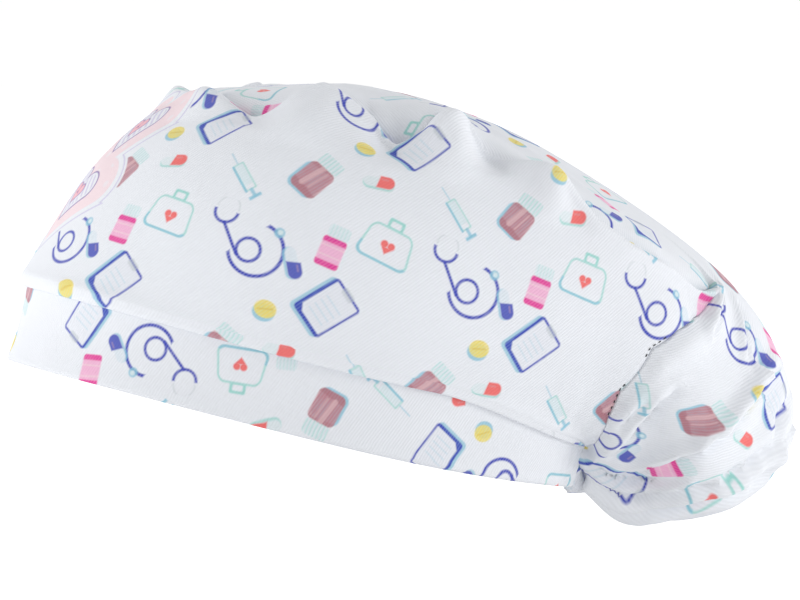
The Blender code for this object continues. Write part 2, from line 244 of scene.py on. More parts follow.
# Soft folds: both ends as (angle, column), half width and height in metres
softFolds = (
    ((20, 6.1), (24, 5.0), 0.0094, 0.0019),
    ((45, 6.0), (43, 5.1), 0.0094, -0.0025),
    ((66, 6.5), (60, 4.7), 0.0105, 0.0033),
    ((90, 5.7), (86, 4.6), 0.0083, -0.0033),
    ((111, 6.2), (101, 4.4), 0.0088, 0.0033),
    ((118, 5.7), (114, 4.8), 0.0071, -0.0028),
    ((128, 5.4), (123, 4.2), 0.0066, 0.0028),
    ((155, 5.0), (149, 4.4), 0.0056, 0.0013),
    ((164, 4.2), (150, 3.3), 0.0060, -0.0022),
    ((147, 2.1), (143, 3.1), 0.0056, -0.0016),
    ((149, 2.0), (149, 3.1), 0.0056, -0.0022),
    ((151, 2.3), (158, 3.0), 0.0056, -0.0017),
    ((159, 3.2), (164, 3.6), 0.0056, -0.0013),
    ((-24, 6.1), (-29, 5.0), 0.0094, 0.0022),
    ((-45, 6.0), (-47, 5.2), 0.0094, -0.0025),
    ((-64, 6.5), (-70, 4.6), 0.0099, 0.0030),
    ((-90, 5.7), (-93, 4.8), 0.0083, -0.0030),
    ((-112, 6.2), (-106, 4.5), 0.0088, 0.0030),
    ((-129, 5.3), (-125, 4.1), 0.0071, 0.0025),
    ((-147, 1.8), (-145, 3.2), 0.0056, -0.0019),
    ((-152, 2.0), (-160, 3.2), 0.0060, -0.0022),
    ((-158, 4.4), (-149, 3.7), 0.0066, -0.0019),
    ((-175, 1.7), (-172, 3.0), 0.0060, -0.0017),
)
# Creases: a valley along (angle, column) points with a roll of cloth on one side of it, as
# half width and depth in metres, then how much of the depth the roll rises
creases = (
    (((164, 4.30), (158, 4.16), (154, 3.88), (150.5, 3.44)), 0.0026, 0.0020, 1.0),
    (((144.5, 3.36), (143.5, 3.04), (143.5, 2.56), (145, 1.84)), 0.0020, 0.0014, 0.9),
    (((142, 2.92), (141.5, 2.60), (141, 2.20)), 0.0020, 0.0010, 0.6),
    (((150.5, 3.50), (149.5, 3.28), (148.5, 2.96), (148, 2.56), (147.5, 2.04)), 0.0020, 0.0016, 0.9),
    (((147.5, 1.60), (148.5, 2.28), (150, 2.80)), 0.0017, 0.0013, 0.8),
    (((149.5, 1.50), (150.2, 2.40), (152, 2.88), (156, 3.32)), 0.0020, 0.0014, 0.9),
    (((152, 1.60), (152.5, 2.30), (156, 2.80), (159.5, 3.12)), 0.0019, 0.0013, 0.9),
    (((155, 3.22), (157, 3.36), (159.5, 3.52), (167, 3.68)), 0.0024, 0.0017, 0.9),
    (((157, 5.16), (153.5, 4.88), (150.5, 4.56)), 0.0017, 0.0011, 0.8),
    (((161, 5.00), (158.5, 4.72), (157, 4.45)), 0.0017, 0.0010, 0.8),
    (((159, 4.50), (160.5, 4.28), (161.5, 4.10)), 0.0022, 0.0013, 0.6),
    (((166, 3.50), (166.5, 3.12), (163, 2.85), (160, 2.30)), 0.0022, 0.0014, 0.8),
    (((163.5, 3.72), (164.5, 3.86), (168, 3.98)), 0.0032, 0.0020, 0.3),
    (((156, 1.5), (158.5, 2.0), (163, 2.5)), 0.0020, 0.0012, 0.8),
    (((165, 1.5), (170, 2.1), (174, 2.8)), 0.0030, 0.0009, 0.7),
    (((178, 1.4), (181, 2.2), (180, 3.0)), 0.0030, 0.0009, 0.7),
    (((-170, 1.4), (-169, 2.1), (-171, 2.9)), 0.0030, 0.0009, 0.7),
    (((-160, 1.5), (-158, 2.1), (-161, 2.8)), 0.0028, 0.0009, 0.7),
    (((-153, 1.5), (-150, 2.1), (-150, 3.0)), 0.0026, 0.0010, 0.7),
    (((-147, 1.6), (-144, 2.3), (-144, 3.1)), 0.0024, 0.0010, 0.7),
    (((-163, 4.2), (-155, 3.9), (-151, 3.4)), 0.0026, 0.0014, 0.9),
)


# How far into their rise soft folds start, and creases start and end
foldFade = (0.25, 0.12)
# Section of a crease, as shares of its width: the valley's fall, the roll's place and spread
rollForm = {"valleyFall": 1.3, "place": 1.8, "spread": 1.3}


def alongPath(points, path):
    # each point's distance from a path on the smooth cap, its side, and its place along the path
    ends = np.array(path, float)
    places = np.linspace(0, len(ends) - 1, 8 * (len(ends) - 1) + 1)
    track = np.column_stack([np.interp(places, range(len(ends)), ends[:, k]) for k in (0, 1)])
    line, up = smoothCap(*track.T), normals(*track.T)
    nearest = np.full(points.shape[:-1], np.inf)
    place, side = np.zeros(points.shape[:-1]), np.zeros(points.shape[:-1])
    for step, (a, b) in enumerate(zip(line, line[1:])):
        run = b - a
        share = np.clip((points - a) @ run / (run @ run), 0, 1)
        offset = points - a - share[..., None] * run
        away = np.linalg.norm(offset, axis=-1)
        closer = away < nearest
        place = np.where(closer, (step + share) / (len(line) - 1), place)
        side = np.where(closer, offset @ np.cross(run, up[step]), side)
        nearest = np.minimum(away, nearest)
    return nearest, np.sign(side), place


def foldHeights(points):
    lift = np.zeros(points.shape[:-1])
    for start, end, width, height in softFolds:
        away, side, place = alongPath(points, (start, end))
        swell = clothWall["foldGain"] * height * np.exp(-((away / width) ** 2))
        lift += swell * np.sin(np.pi * (foldFade[0] + (1 - foldFade[0]) * place))
    for path, width, depth, roll in creases:
        width, depth = width * clothWall["creaseWiden"], depth * clothWall["creaseGain"]
        away, side, place = alongPath(points, path)
        fade = np.sin(np.pi * (foldFade[1] + (1 - 2 * foldFade[1]) * place)) ** 0.8
        valley = np.exp(-rollForm["valleyFall"] * away / width)
        fromRoll = (away * side - rollForm["place"] * width) / (rollForm["spread"] * width)
        bank = np.exp(-(fromRoll**2))
        lift += depth * fade * (roll * bank - valley)
    return lift


# Gathers that leave the nape casing: height in metres, pitches in degrees, where they fade in
# beside the band's end, and the middle column and spread of the coarse and the fine ones
napeGathers = {
    "height": 0.0010,
    "pitch": 10.6,
    "finePitch": 3.7,
    "fineShare": 0.5,
    "fadeIn": (-22, 2),
    "coarse": (1.5, 1.1),
    "fine": (1.2, 0.6),
}


def unevenWaves(angles, pitch, wander, turns, shift=0):
    # waves round the cap, closer together in some places than in others
    drift = wander * np.sin(np.radians(signed(angles)) * turns)
    return np.sin(math.tau * angles / pitch + shift + drift)


def gathers(angles, columns):
    # ripples that fade out over the hanging back
    side, end = signed(angles), capForm["bandEnd"]
    (middle, spread), (fineMiddle, fineSpread) = napeGathers["coarse"], napeGathers["fine"]
    atBack = smooth(*(end + np.array(napeGathers["fadeIn"])), np.abs(side))
    fade = np.exp(-(((columns - middle) / spread) ** 2))
    ripple = 1 + unevenWaves(side, napeGathers["pitch"], 1.3, 9)
    fine = napeGathers["fineShare"] * unevenWaves(side, napeGathers["finePitch"], 2.1, 7)
    fine = fine * np.exp(-(((columns - fineMiddle) / fineSpread) ** 2))
    return napeGathers["height"] * atBack * fade * (ripple + fine)


# Crumpled corner: where it grows and fades past the band's left end, in degrees and columns
cornerSpan = {"grows": (0, 4), "fades": (5, 14), "columns": (1.1, 2.3)}


def napeCorner(angles, columns):
    # how much a point belongs to the crumpled corner
    past = signed(angles) - capForm["bandEnd"]
    share = smooth(*cornerSpan["grows"], past) * (1 - smooth(*cornerSpan["fades"], past))
    return share * (1 - smooth(*cornerSpan["columns"], columns))


def unevenness(points, size, height):
    # slow random waves that no cloth is without
    flat = points.reshape(-1, 3) / size
    waves = np.array([noise.noise(Vector(p)) for p in flat])
    return height * waves.reshape(points.shape[:-1])


# Cloth: thicknesses, the seam allowance, slow waves, how strongly the folds and creases of the
# tables show, and the push and crumples of the corner beside the band's end
clothWall = {
    "crownThickness": 0.0007,
    "bandThickness": 0.0014,
    "casingThickness": 0.0026,
    "seamAllowance": 0.006,
    "waveSize": 0.030,
    "waveHeight": 0.0005,
    "foldGain": 1.55,
    "creaseGain": 2.7,
    "creaseWiden": 0.95,
    "cornerPush": np.array([0.003, -0.007, 0.003]),
    "crumpleSize": 0.007,
    "crumpleHeight": 0.0022,
}
# How the cloth runs into a seam: depth and width of the groove, height and place of the swell
seamProfiles = {
    "wallAtTop": (0.0028, 0.0015, 0.0019, 0.0050),
    "panelAtTop": (0.0028, 0.0060, 0.0, 0.0050),
    "wallAtBack": (0.0010, 0.0045, 0.0, 0.0050),
    "panelAtBack": (0.0010, 0.0022, 0.0017, 0.0065),
    "wallAtBand": (0.0, 0.0010, 0.0007, 0.0035),
}


def crownSurface(gridAngles, gridColumns):
    # outside of the crown's cloth and its outward direction, with folds and the seams' grooves
    angles, columns = alongSeams(gridAngles, gridColumns)
    points = smoothCap(angles, columns)
    normal = normals(angles, columns)
    aboveBand = smooth(bandTop, bandTop + 0.6, columns)
    overBand = 1 - smooth(capForm["bandEnd"], capForm["bandEnd"] + 4, np.abs(signed(angles)))
    lift = capForm["clothLift"] * np.maximum(aboveBand, overBand)
    waves = unevenness(points, clothWall["waveSize"], clothWall["waveHeight"])
    lift = lift + (gathers(angles, columns) + foldHeights(points) + waves) * aboveBand
    corner = napeCorner(angles, columns)
    lift += corner * unevenness(points, clothWall["crumpleSize"], clothWall["crumpleHeight"])
    points = points + corner[..., None] * clothWall["cornerPush"]
    return points, normal, lift, (angles, columns)


def seamProfile(distance, name):
    # the cloth swells beside a seam and dives into it
    depth, width, swell, place = seamProfiles[name]
    share = distance / place
    return swell * share**2 * np.exp(1 - share**2) - depth * np.exp(-distance / width)


def stepAlong(points, axis):
    # distance along each grid line from its first point
    steps = np.linalg.norm(np.diff(points, axis=axis), axis=-1)
    start = np.zeros_like(np.take(steps, [0], axis))
    return np.concatenate([start, np.cumsum(steps, axis)], axis)


def gridMesh(name, outside, inside, used, wraps=False, pole=False):
    # two layers of cloth, joined round their edges; returns the object and each vertex's grid place
    count, width = outside.shape[:2]
    index = np.arange(count * width).reshape(count, width)
    if pole:
        index[:, -1] = index[0, -1]
    i, j = np.nonzero(used)
    after = (i + 1) % count if wraps else i + 1
    quads = np.stack([index[i, j], index[after, j], index[after, j + 1], index[i, j + 1]], 1)
    layer = count * width
    faces = []
    edges = {}
    for quad in quads.tolist():
        ring = list(dict.fromkeys(quad))
        faces.append(ring)
        for a, b in zip(ring, ring[1:] + ring[:1]):
            edges[a, b] = True
    under = [[v + layer for v in reversed(ring)] for ring in faces]
    rims = [[b, a, a + layer, b + layer] for a, b in edges if (b, a) not in edges]
    kinds = [0] * len(faces) + [1] * len(under) + [0] * len(rims)
    allFaces = faces + under + rims
    points = np.concatenate([outside.reshape(-1, 3), inside.reshape(-1, 3)])
    kept = np.unique(np.concatenate([np.array(face) for face in allFaces]))
    renumbered = np.full(len(points), -1)
    renumbered[kept] = np.arange(len(kept))
    mesh = bpy.data.meshes.new(name)
    numbered = [[int(renumbered[v]) for v in face] for face in allFaces]
    mesh.from_pydata(points[kept].tolist(), [], numbered)
    mesh.polygons.foreach_set("material_index", kinds)
    mesh.shade_smooth()
    piece = bpy.data.objects.new(name, mesh)
    bpy.context.scene.collection.objects.link(piece)
    return piece, kept


def flatPattern(outside, used, wraps, pole, origin, upwards, turn=0.0, rowStep=2, lineStep=4):
    # the cloth laid flat in metres, unwrapped from every few points of the grid: the origin lies at
    # one grid point, and another is straight above it, then all is turned
    count, width = outside.shape[:2]
    rows = sorted({*range(0, count, rowStep), count - 1})
    lines = sorted({*range(0, width, lineStep), width - 1})
    coarseUsed = used[np.ix_(rows if wraps else rows[:-1], lines[:-1])]
    points = outside[np.ix_(rows, lines)]
    sample, kept = gridMesh("flat_sample", points, points - 0.001, coarseUsed, wraps, pole)
    shell = bmesh.new()
    shell.from_mesh(sample.data)
    shell.verts.ensure_lookup_table()
    total = points.shape[0] * points.shape[1]
    bmesh.ops.delete(shell, geom=[v for v, k in zip(shell.verts, kept) if k >= total], context="VERTS")
    area = sum(f.calc_area() for f in shell.faces)
    shell.to_mesh(sample.data)
    shell.free()
    bpy.ops.object.select_all(action="DESELECT")
    bpy.context.view_layer.objects.active = sample
    sample.select_set(True)
    bpy.ops.object.mode_set(mode="EDIT")
    bpy.ops.mesh.select_all(action="SELECT")
    bpy.ops.uv.unwrap(method="MINIMUM_STRETCH", iterations=40, margin=0.0)
    bpy.ops.object.mode_set(mode="OBJECT")
    loops = sample.data.loops
    vertexOf = np.zeros(len(loops), int)
    loops.foreach_get("vertex_index", vertexOf)
    flat = np.zeros(len(loops) * 2)
    sample.data.uv_layers.active.data.foreach_get("uv", flat)
    flat = flat.reshape(-1, 2)
    corners = [flat[list(p.loop_indices)] for p in sample.data.polygons]
    flatArea = sum(polygonArea(c) for c in corners)
    places = np.full((total, 2), np.nan)
    places[kept[kept < total][vertexOf]] = flat * math.sqrt(area / abs(flatArea))
    places = places.reshape(len(rows), len(lines), 2)
    if pole:
        places[:, -1] = places[0, -1]
    bpy.data.objects.remove(sample)
    if wraps:
        rows = rows + [count]
        places = np.concatenate([places, places[:1]])
    fine = spread(places, rows, lines, count, width)
    start, end = fine[origin], fine[upwards]
    tilt = math.atan2(*(end - start)) + math.radians(turn)
    c, s = math.cos(tilt), math.sin(tilt)
    return (fine - start) @ np.array([[c, s], [-s, c]])


# Regular grid on which the crown's panels are laid flat, and its margins past their edges
patternGrid = {
    "turnStep": 2.5,
    "firstColumn": 0.8,
    "columnCount": 49,
    "columnMargin": 0.7,
    "turnMargin": 6.0,
}
patternAngles = np.arange(-180, 180, patternGrid["turnStep"])
patternColumns = np.linspace(patternGrid["firstColumn"], poleColumn, patternGrid["columnCount"])


def crownPattern(wall, upwards, turn=0.0):
    # the wall or the top panel laid flat without its folds
    midAngles = np.abs(patternAngles + patternGrid["turnStep"] / 2)
    midColumns = (patternColumns[1:] + patternColumns[:-1]) / 2
    away, column = np.meshgrid(midAngles, midColumns, indexing="ij")
    seam = np.interp(away, *np.array(topSeam).T)
    beyond, seamColumns = np.array(backSeam).T
    end = capForm["bandEnd"] + np.interp(column, seamColumns, beyond)
    above, past = patternGrid["columnMargin"], patternGrid["turnMargin"]
    if wall:
        used = ((column < seam + above) & (away < end + past))[:-1]
    else:
        used = (column > seam - above) | (away > end - past)
    points = smoothCap(*np.meshgrid(patternAngles, patternColumns, indexing="ij"))
    return flatPattern(points, used, not wall, not wall, *upwards, turn, 1, 1)


def placesOn(pattern, angles, columns):
    # where points of the cap lie on a panel laid flat
    across = (signed(angles) - patternAngles[0]) / patternGrid["turnStep"]
    rising = (columns - patternColumns[0]) / (patternColumns[1] - patternColumns[0])
    i = np.floor(across).astype(int) % len(pattern)
    j = np.clip(np.floor(rising).astype(int), 0, pattern.shape[1] - 2)
    after = (i + 1) % len(pattern)
    a, b = (across - np.floor(across))[..., None], (rising - j)[..., None]
    lower = pattern[i, j] * (1 - a) + pattern[after, j] * a
    upper = pattern[i, j + 1] * (1 - a) + pattern[after, j + 1] * a
    return lower * (1 - b) + upper * b


def polygonArea(corners):
    x, y = corners.T
    return 0.5 * (x @ np.roll(y, -1) - y @ np.roll(x, -1))


def spread(places, rows, lines, count, width):
    # values at every point of the grid from those at some of its rows and lines
    along = np.stack(
        [[np.interp(range(width), lines, row[:, k]) for row in places] for k in (0, 1)], -1
    )
    return np.stack(
        [[np.interp(range(count), rows, along[:, j, k]) for j in range(width)] for k in (0, 1)], -1
    ).transpose(1, 0, 2)


# Size and corner of the outer and the inner layer on the map that keeps the outside large
bakeLayout = {"outer": ((0.98, 0.80), (0.01, 0.19)), "inner": ((0.50, 0.16), (0.01, 0.01))}


def mapCloth(piece, kept, pattern, shift):
    # the print's map, in metres, and the map for a bake
    mesh = piece.data
    total = pattern.shape[0] * pattern.shape[1]
    flat = pattern.reshape(-1, 2)
    vertexOf = np.zeros(len(mesh.loops), int)
    mesh.loops.foreach_get("vertex_index", vertexOf)
    source = kept[vertexOf]
    places = flat[source % total]
    layer = mesh.uv_layers.new(name="clothMap")
    layer.data.foreach_set("uv", (places + shift).ravel())
    low, high = places.min(0), places.max(0)
    share = (places - low) / (high - low)
    outer, inner = [share * size + corner for size, corner in bakeLayout.values()]
    bake = np.where((source < total)[:, None], outer, inner)
    mesh.uv_layers.new(name="OFBake").data.foreach_set("uv", bake.ravel())
    mesh.uv_layers.active = layer


# Each panel: the node it stands for, its slot, how it is held, what it rests on, and how far its
# print is moved, in metres
panels = {
    "brow_band": ("front_band", "band_twill", "folded", [], (-5.02, 3.10)),
    "wall_panel": ("crown_wall", "crown_twill", "stretched", ["brow_band"], (0, 0)),
    "top_panel": ("crown_top", "crown_twill", "gathered", ["wall_panel"], (5.04, 4.96)),
    "nape_elastic": ("nape_casing", "casing_twill", "gathered", [], (3.31, -4.02)),
}


def finishPanel(piece, kept, pattern):
    node, slot, held, restsOn, shift = panels[piece.name]
    mapCloth(piece, kept, pattern, shift)
    piece.data.materials.append(outsideCloth)
    piece.data.materials.append(insideCloth)
    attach(piece, "root")
    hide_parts(node)


# Print colours, as linear red, green and blue
printColours = {
    "cloth": (0.845, 0.868, 0.915),
    "royal": (0.045, 0.066, 0.478),
    "paleBlue": (0.275, 0.571, 0.716),
    "mint": (0.342, 0.694, 0.645),
    "ice": (0.70, 0.83, 0.87),
    "brown": (0.558, 0.270, 0.314),
    "darkBrown": (0.392, 0.120, 0.150),
    "rose": (0.72, 0.47, 0.50),
    "pink": (0.930, 0.342, 0.604),
    "hotPink": (0.783, 0.056, 0.328),
    "coral": (0.905, 0.117, 0.107),
    "yellow": (0.871, 0.730, 0.195),
    "mustard": (0.694, 0.485, 0.068),
    "grey": (0.52, 0.57, 0.60),
    "heartPink": (0.905, 0.52, 0.58),
    "palePink": (0.93, 0.72, 0.76),
    "lilac": (0.44, 0.36, 0.68),
    "violet": (0.155, 0.065, 0.36),
}
# The print repeats over a skewed lattice, in millimetres
printLayout = {
    "across": 63.0,
    "upwards": 62.0,
    "stepUp": 23.0,
    "inkEdge": 0.30,
}
# Front artwork: middle, size and turn of each big heart, in millimetres and degrees
frontHearts = (((1.0, 62.0), 21.0, 9.0), ((-1.0, 33.0), 19.0, -9.0))


class Sketch:
    # draws with distances: negative inside a shape, in millimetres
    def __init__(self, owner):
        owner.use_nodes = True
        self.tree = owner.node_tree
        self.wash = 1.0  # strength of the inks that look a little worn

    def fill(self, sockets, values):
        # links or sets sockets, by place or by name
        for key, value in values.items() if isinstance(values, dict) else enumerate(values):
            if isinstance(value, bpy.types.NodeSocket):
                self.tree.links.new(value, sockets[key])
            elif value is not None:
                sockets[key].default_value = value

    def node(self, kind, values=(), **settings):
        made = self.tree.nodes.new(kind)
        for name, value in settings.items():
            setattr(made, name, value)
        self.fill(made.inputs, values)
        return made

    def surface(self, values):
        self.fill(self.tree.nodes["Principled BSDF"].inputs, values)

    def math(self, operation, *values, clamp=False):
        return self.node("ShaderNodeMath", values, operation=operation, use_clamp=clamp).outputs[0]

    def vector(self, operation, *values):
        values = [(*v, 0) if isinstance(v, tuple) and len(v) == 2 else v for v in values]
        made = self.node("ShaderNodeVectorMath", values, operation=operation)
        return made.outputs["Value" if operation in ("LENGTH", "DISTANCE", "DOT_PRODUCT") else "Vector"]

    def mix(self, share, first, second, blend="MIX"):
        values = {"Factor": share, "A": first, "B": second}
        made = self.node("ShaderNodeMix", values, data_type="RGBA", blend_type=blend)
        return made.outputs["Result"]

    def noise(self, at, scale, detail=2.0):
        values = {"Vector": at, "Scale": scale, "Detail": detail}
        return self.node("ShaderNodeTexNoise", values).outputs[0]

    def parts(self, at):
        made = self.node("ShaderNodeSeparateXYZ", [at])
        return made.outputs[0], made.outputs[1]

    def joined(self, x, y):
        return self.node("ShaderNodeCombineXYZ", [x, y]).outputs[0]

    def turned(self, at, turn):
        values = {"Vector": at, "Angle": -math.radians(turn)}
        return self.node("ShaderNodeVectorRotate", values, rotation_type="Z_AXIS").outputs[0]

    def local(self, at, centre, turn):
        # the nearest repeat of a motif, about its own middle
        x, y = self.parts(self.vector("SUBTRACT", at, centre))
        column = self.math("ROUND", self.math("DIVIDE", x, printLayout["across"]))
        lowered = self.math("MULTIPLY_ADD", column, -printLayout["stepUp"], y)
        half = (printLayout["across"] / 2, printLayout["upwards"] / 2, 1)
        wrapped = self.vector("WRAP", self.joined(x, lowered), half, tuple(-h for h in half))
        return self.turned(wrapped, turn)

    def outline(self, shape, offset, half):
        away = self.math("ABSOLUTE", self.math("SUBTRACT", shape, offset))
        return self.math("SUBTRACT", away, half)

    def stripes(self, value, pitch, half):
        return self.math("SUBTRACT", self.math("PINGPONG", value, pitch), half)

    def disc(self, at, centre, radius):
        return self.math("SUBTRACT", self.vector("DISTANCE", at, centre), radius)

    def ring(self, at, centre, radius, half):
        return self.outline(self.vector("DISTANCE", at, centre), radius, half)

    def box(self, at, centre, half, corner):
        away = self.vector("ABSOLUTE", self.vector("SUBTRACT", at, centre))
        over = self.vector("SUBTRACT", away, (half[0] - corner, half[1] - corner, 1))
        return self.math("SUBTRACT", self.vector("LENGTH", self.vector("MAXIMUM", over, (0, 0))), corner)

    def frame(self, at, centre, half, corner, line):
        outer = self.box(at, centre, half, corner)
        inner = self.box(at, centre, (half[0] - line, half[1] - line), corner * 0.8)
        return self.math("MAXIMUM", outer, self.math("MULTIPLY", inner, -1.0))

    def bar(self, at, start, end, radius):
        run = (end[0] - start[0], end[1] - start[1], 0)
        length = run[0] ** 2 + run[1] ** 2
        away = self.vector("SUBTRACT", at, start)
        scaled = tuple(r / length for r in run)
        share = self.math("ADD", self.vector("DOT_PRODUCT", away, scaled), 0.0, clamp=True)
        nearest = self.vector("SCALE", run, None, None, share)
        return self.math("SUBTRACT", self.vector("DISTANCE", away, nearest), radius)

    def cut(self, shape, at, direction, limit):
        # keeps the part of a shape on the near side of a line
        beyond = self.math("SUBTRACT", self.vector("DOT_PRODUCT", at, direction), limit)
        return self.math("MAXIMUM", shape, beyond)

    def heart(self, at, size):
        # two rounds and a point below them
        x, y = self.parts(at)
        folded = self.joined(self.math("ABSOLUTE", x), y)
        lobe = (0.50 * size, 0.36 * size)
        radius, slope = 0.53 * size, math.radians(41)
        direction = (math.cos(slope), -math.sin(slope))
        reach = lobe[0] * direction[0] + lobe[1] * direction[1] + radius
        side = self.math("SUBTRACT", self.vector("DOT_PRODUCT", folded, direction), reach)
        low = self.math("SUBTRACT", y, lobe[1] + radius * direction[1])
        return self.math("MINIMUM", self.disc(folded, lobe, radius), self.math("MAXIMUM", side, low))

    def inked(self, colour, layers):
        # covers a colour with layers of ink: shape, colour name and strength
        for shape, name, strength in layers:
            cover = self.math("MULTIPLY_ADD", shape, -0.5 / printLayout["inkEdge"], 0.5, clamp=True)
            cover = self.math("MULTIPLY", cover, strength)
            colour = self.mix(cover, colour, (*printColours[name], 1))
        return colour


def drawTube(pen, at):
    sweep = pen.cut(pen.ring(at, (3.4, -0.4), 8.2, 0.55), at, (-0.80, 0.60), 1.2)
    fork = pen.cut(pen.ring(at, (-9.4, 8.2), 3.7, 0.48), at, (0, 1), 8.4)
    tips = pen.cut(pen.ring(at, (-9.4, 9.6), 3.5, 0.26), at, (0, -1), -9.2)
    return (
        (sweep, "royal", pen.wash),
        (pen.ring(at, (1.4, -1.2), 3.6, 0.5), "royal", pen.wash),
        (pen.bar(at, (-8.6, 4.4), (-1.6, -3.6), 0.5), "royal", pen.wash),
        (fork, "royal", pen.wash),
        (pen.cut(tips, at, (0, 1), 12.4), "grey", 0.40),
        (pen.disc(at, (8.2, 6.9), 1.6), "paleBlue", 0.8),
        (pen.disc(at, (8.4, 7.1), 0.8), "ice", 1.0),
    )


def drawBoard(pen, at):
    paper = pen.cut(pen.box(at, (0.2, 0.2), (5.3, 7.0), 0.5), at, (-0.64, -0.77), 7.2)
    rules = pen.stripes(pen.parts(at)[1], 1.05, 0.22)
    return (
        (pen.box(at, (-0.8, -0.8), (6.4, 8.2), 1.6), "paleBlue", 0.75),
        (pen.box(at, (0, 0), (6.2, 8.0), 1.3), "royal", pen.wash),
        (paper, "cloth", 0.96),
        (pen.math("MAXIMUM", rules, pen.box(at, (0.3, -0.6), (3.4, 3.9), 0.2)), "paleBlue", 0.28),
        (pen.box(at, (0, 7.4), (2.3, 1.2), 0.8), "grey", 0.5),
    )


def drawBottle(pen, at):
    body = pen.box(at, (0, -1.4), (4.7, 5.4), 2.0)
    lid = pen.box(at, (0, 6.2), (3.9, 2.2), 0.8)
    ribs = pen.stripes(pen.parts(at)[0], 0.62, 0.2)
    return (
        (pen.box(at, (-0.8, -2.2), (4.8, 5.4), 2.4), "paleBlue", 0.85),
        (body, "brown", pen.wash),
        (pen.cut(body, at, (0.12, 1), -4.6), "darkBrown", 0.45),
        (pen.cut(body, at, (0.1, -1), -2.8), "darkBrown", 0.30),
        (pen.math("MAXIMUM", body, pen.bar(at, (-1.6, -4.2), (-0.2, 4.2), 0.85)), "rose", 0.85),
        (pen.bar(at, (1.0, -4.0), (2.0, 3.0), 0.25), "rose", 0.8),
        (lid, "ice", 0.45),
        (pen.math("MAXIMUM", ribs, lid), "mint", 0.6),
    )


def drawBag(pen, at):
    # a case that widens towards its foot
    x, y = pen.parts(at)
    widened = pen.math("MULTIPLY", x, pen.math("MULTIPLY_ADD", y, 0.022, 1.06))
    case = pen.frame(pen.joined(widened, y), (0, 0), (8.2, 5.9), 2.8, 0.7)
    grip = pen.cut(pen.frame(at, (0, 7.0), (2.6, 1.9), 0.7, 0.9), at, (0, -1), -5.7)
    return (
        (case, "mint", 0.8),
        (pen.cut(case, at, (0.2, 1), -3.0), "paleBlue", 0.85),
        (grip, "mint", 0.95),
        (pen.heart(pen.vector("SUBTRACT", at, (0.2, -0.5)), 2.2), "coral", 0.9),
    )


def drawJar(pen, at):
    x, y = pen.parts(at)
    body = pen.box(at, (0, -1.8), (3.6, 4.7), 1.0)
    ends = pen.math("SUBTRACT", 2.9, pen.math("ABSOLUTE", pen.math("ADD", y, 1.8)))
    lines = pen.outline(pen.outline(y, -1.5, 1.5), 0.0, 0.16)
    lid = pen.box(at, (0.2, 4.9), (3.2, 2.0), 0.9)
    return (
        (body, "pink", 0.70),
        (pen.math("MAXIMUM", body, ends), "hotPink", pen.wash),
        (pen.math("MAXIMUM", lines, body), "palePink", 0.75),
        (lid, "ice", 0.50),
        (pen.math("MAXIMUM", pen.stripes(x, 0.55, 0.2), lid), "mint", 0.35),
    )


def drawSyringe(pen, at):
    return (
        (pen.box(at, (-0.9, 0), (4.2, 1.3), 0.3), "ice", 0.7),
        (pen.frame(at, (0, 0), (5.4, 1.9), 0.6, 0.5), "mint", 0.75),
        (pen.bar(at, (-5.0, -1.7), (5.2, -1.7), 0.35), "paleBlue", 0.9),
        (pen.bar(at, (-5.6, 0), (-10.2, 0), 0.22), "paleBlue", 0.6),
        (pen.bar(at, (5.4, 0), (7.6, 0), 0.55), "paleBlue", 0.8),
        (pen.box(at, (8.0, 0), (0.55, 2.0), 0.3), "paleBlue", 0.9),
    )


def drawTablet(pen, at):
    flat = pen.vector("MULTIPLY", at, (1, 1.22, 1))
    return (
        (pen.disc(flat, (-0.3, -1.4), 3.4), "paleBlue", 0.85),
        (pen.disc(flat, (0, 0), 3.4), "yellow", pen.wash),
        (pen.bar(flat, (-2.1, -0.6), (2.1, 0.6), 0.28), "mustard", 0.6),
    )


def drawCapsule(pen, at, name, plain):
    shell = pen.bar(at, (-2.9, 0), (2.9, 0), 2.1)
    return (
        (pen.bar(at, (-2.9, -0.8), (2.9, -0.8), 2.1), plain, 0.75),
        (shell, "cloth", 0.8),
        (pen.cut(shell, at, (-1, 0.25), 0.2), name, 0.9),
        (pen.bar(at, (1.0, 0.9), (2.7, 0.9), 0.25), "rose", 0.35),
    )


def drawFrontHearts(pen, at):
    # two plain hearts on the middle of the front, dotted, with smaller striped hearts on them
    hearts = []
    for middle, size, turn in frontHearts:
        hearts.append((pen.turned(pen.vector("SUBTRACT", at, middle), turn), size))
    shape = pen.math("MINIMUM", *[pen.heart(place, size) for place, size in hearts])
    wrapped = pen.vector("WRAP", pen.turned(at, 30), (4.2, 4.2, 1), (-4.2, -4.2, -1))
    dots = pen.math("MAXIMUM", pen.disc(wrapped, (0, 0), 1.3), pen.math("ADD", shape, 2.0))
    layers = [
        (pen.math("SUBTRACT", shape, 3.6), "cloth", 1.0),
        (pen.outline(shape, 2.3, 0.25), "lilac", 0.55),
        (shape, "palePink", 0.80),
        (dots, "cloth", 0.40),
    ]
    for place, size in hearts:
        small, least = pen.heart(place, 0.56 * size), pen.heart(place, 0.22 * size)
        stripes = pen.stripes(pen.math("ADD", *pen.parts(place)), 1.7, 0.75)
        layers += [
            (small, "cloth", 0.95),
            (pen.math("MAXIMUM", stripes, pen.math("ADD", small, 1.2)), "lilac", 0.42),
            (pen.outline(small, 0.0, 0.32), "violet", 0.85),
            (least, "heartPink", 1.0),
            (pen.outline(least, 0.0, 0.26), "violet", 0.8),
        ]
    return layers


